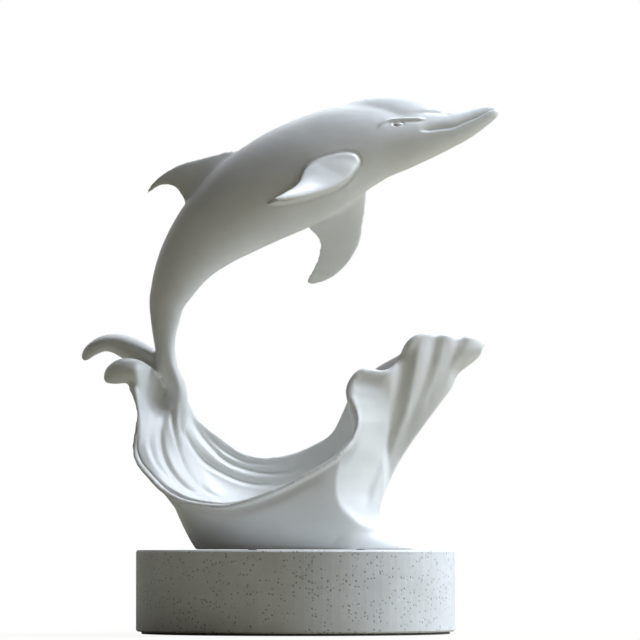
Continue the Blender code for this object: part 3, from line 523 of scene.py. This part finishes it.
# The felt pad: pressed wool felt, cut a little smaller than the base and glued on last, over the
# counterbores. It gives a dull dark grey with short fibres, drawn 0.7 mm apart so that they show.
felt = bpy.data.materials.new("pressed_wool_felt")
felt.use_nodes = True
shader = felt.node_tree.nodes["Principled BSDF"]
spot = add_node(felt, "ShaderNodeTexCoord")
fibre = add_node(felt, "ShaderNodeTexNoise", links={
    "Vector": spot.outputs["Object"], "Scale": 1400.0, "Detail": 5.0, "Distortion": 1.5,
})
wool = add_node(felt, "ShaderNodeValToRGB", links={"Fac": fibre.outputs["Fac"]})
wool.color_ramp.elements[0].position = 0.3
wool.color_ramp.elements[0].color = linear("#4A4B4B")
wool.color_ramp.elements[1].position = 0.7
wool.color_ramp.elements[1].color = linear("#6E6F6E")
felt.node_tree.links.new(wool.outputs["Color"], shader.inputs["Base Color"])
relief = add_node(felt, "ShaderNodeBump", links={
    "Height": fibre.outputs["Fac"], "Strength": 0.6, "Distance": 0.0002,
})
felt.node_tree.links.new(relief.outputs["Normal"], shader.inputs["Normal"])
shader.inputs["Roughness"].default_value = 0.95
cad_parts["felt_pad"].material_slots[0].material = felt

# The fixings: pan-head machine screws and flat washers of zinc-plated steel, sunk in the stone's
# counterbores from below. The plate gives a bright, slightly blue grey with a fine brushed haze.
zinc = bpy.data.materials.new("zinc_plated_steel_finish")
zinc.use_nodes = True
shader = zinc.node_tree.nodes["Principled BSDF"]
spot = add_node(zinc, "ShaderNodeTexCoord")
haze = add_node(zinc, "ShaderNodeTexNoise", links={
    "Vector": spot.outputs["Object"], "Scale": 700.0, "Detail": 3.0,
})
plate = add_node(zinc, "ShaderNodeValToRGB", links={"Fac": haze.outputs["Fac"]})
plate.color_ramp.elements[0].color = linear("#B9BDC1")
plate.color_ramp.elements[1].color = linear("#D6D9DC")
zinc.node_tree.links.new(plate.outputs["Color"], shader.inputs["Base Color"])
dull = add_node(zinc, "ShaderNodeMapRange", links={
    "Value": haze.outputs["Fac"], "To Min": 0.25, "To Max": 0.42,
})
zinc.node_tree.links.new(dull.outputs["Result"], shader.inputs["Roughness"])
shader.inputs["Metallic"].default_value = 1.0
for name in ("fixing_screw_left", "fixing_screw_right", "washer_left", "washer_right"):
    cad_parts[name].material_slots[0].material = zinc

# The studio: a plain pale floor that shows white, a large soft lamp high on the right and a smaller
# one low beside it, with weak fills from the front, the right and the back. The camera is a long lens
# level with the top of the stone.
bpy.ops.mesh.primitive_plane_add(size=8.0, location=(0.0, 0.0, -0.0005))
floor = bpy.context.object
floor.name = "floor"
paper = bpy.data.materials.new("white_background_paper")
paper.use_nodes = True
shader = paper.node_tree.nodes["Principled BSDF"]
shader.inputs["Base Color"].default_value = linear("#A9A28D")
shader.inputs["Roughness"].default_value = 0.9
seen = add_node(paper, "ShaderNodeLightPath")
glow = add_node(paper, "ShaderNodeEmission", links={
    "Color": (1.0, 1.0, 1.0, 1.0), "Strength": 1.04,
})
spot = add_node(paper, "ShaderNodeTexCoord")
away = add_node(paper, "ShaderNodeVectorMath", {"operation": "LENGTH"}, {0: spot.outputs["Object"]})
share = add_node(paper, "ShaderNodeMapRange", links={
    "Value": away.outputs["Value"], "From Min": 0.12, "From Max": 0.5, "To Min": 0.9, "To Max": 1.0,
})
lift = add_node(paper, "ShaderNodeMath", {"operation": "MULTIPLY"}, {
    0: seen.outputs["Is Camera Ray"], 1: share.outputs["Result"],
})
blend = add_node(paper, "ShaderNodeMixShader", links={
    0: lift.outputs["Value"], 1: shader.outputs["BSDF"], 2: glow.outputs["Emission"],
})
surface = paper.node_tree.nodes["Material Output"].inputs["Surface"]
paper.node_tree.links.new(blend.outputs["Shader"], surface)
floor.data.materials.append(paper)

world = bpy.data.worlds.new("studio_air")
bpy.context.scene.world = world
world.use_nodes = True
air = world.node_tree.nodes["Background"]
air.inputs["Color"].default_value = linear("#FFF4E4")
air.inputs["Strength"].default_value = 0.003
white = add_node(world, "ShaderNodeBackground", links={
    "Color": (1.0, 1.0, 1.0, 1.0), "Strength": 1.0,
})
ray = add_node(world, "ShaderNodeLightPath")
either = add_node(world, "ShaderNodeMath", {"operation": "MAXIMUM"}, {
    0: ray.outputs["Is Camera Ray"], 1: ray.outputs["Is Transmission Ray"],
})
any_of = add_node(world, "ShaderNodeMath", {"operation": "MAXIMUM"}, {
    0: either.outputs["Value"], 1: ray.outputs["Is Glossy Ray"],
})
mix = add_node(world, "ShaderNodeMixShader", links={
    0: any_of.outputs["Value"], 1: air.outputs["Background"], 2: white.outputs["Background"],
})
surface = world.node_tree.nodes["World Output"].inputs["Surface"]
world.node_tree.links.new(mix.outputs["Shader"], surface)


def lamp(name, place, size, power, colour, aim):
    """A square soft lamp that faces a point."""
    light = bpy.data.lights.new(name, "AREA")
    light.shape = "RECTANGLE"
    light.size, light.size_y = size
    light.energy = power
    light.color = linear(colour)[:3]
    holder = bpy.data.objects.new(name, light)
    bpy.context.collection.objects.link(holder)
    holder.location = place
    holder.rotation_euler = (Vector(aim) - Vector(place)).to_track_quat("-Z", "Y").to_euler()


lamp("key_softbox", (1.07, 0.2, 1.45), (1.0, 1.0), 46.0, "#E9F2FF", (0.0, 0.0, 0.15))
lamp("side_softbox", (1.63, 0.1, 0.5), (0.9, 0.8), 10.5, "#E6F1FF", (0.0, 0.0, 0.12))
lamp("front_fill", (0.0, -1.7, 0.5), (0.9, 0.9), 0.35, "#FFDC98", (0.0, 0.0, 0.15))
lamp("right_fill", (1.3, -1.0, 0.5), (0.9, 0.9), 0.8, "#E6F1FF", (0.0, 0.0, 0.15))
lamp("back_lamp", (0.0, 1.2, 1.35), (0.9, 0.9), 4.0, "#F4F9FF", (0.0, 0.0, 0.15))

VIEW_MIDDLE = Vector((0.0135, 0.0, 0.174))
VIEW_DISTANCE = 3.03
VIEW_WIDTH = 0.3556
VIEW_ELEVATION = math.radians(-2.4)
SENSOR_WIDTH = 36.0
eye = bpy.data.cameras.new("photo_camera")
camera = bpy.data.objects.new("photo_camera", eye)
bpy.context.collection.objects.link(camera)
way = Vector((0.0, -math.cos(VIEW_ELEVATION), math.sin(VIEW_ELEVATION)))
camera.location = VIEW_MIDDLE + way * VIEW_DISTANCE
camera.rotation_euler = (-way).to_track_quat("-Z", "Y").to_euler()
eye.sensor_width = SENSOR_WIDTH
eye.lens = SENSOR_WIDTH * VIEW_DISTANCE / VIEW_WIDTH
eye.clip_start = 0.01
eye.clip_end = 50.0
bpy.context.scene.camera = camera
bpy.context.scene.view_settings.view_transform = "Standard"

bpy.context.view_layer.update()
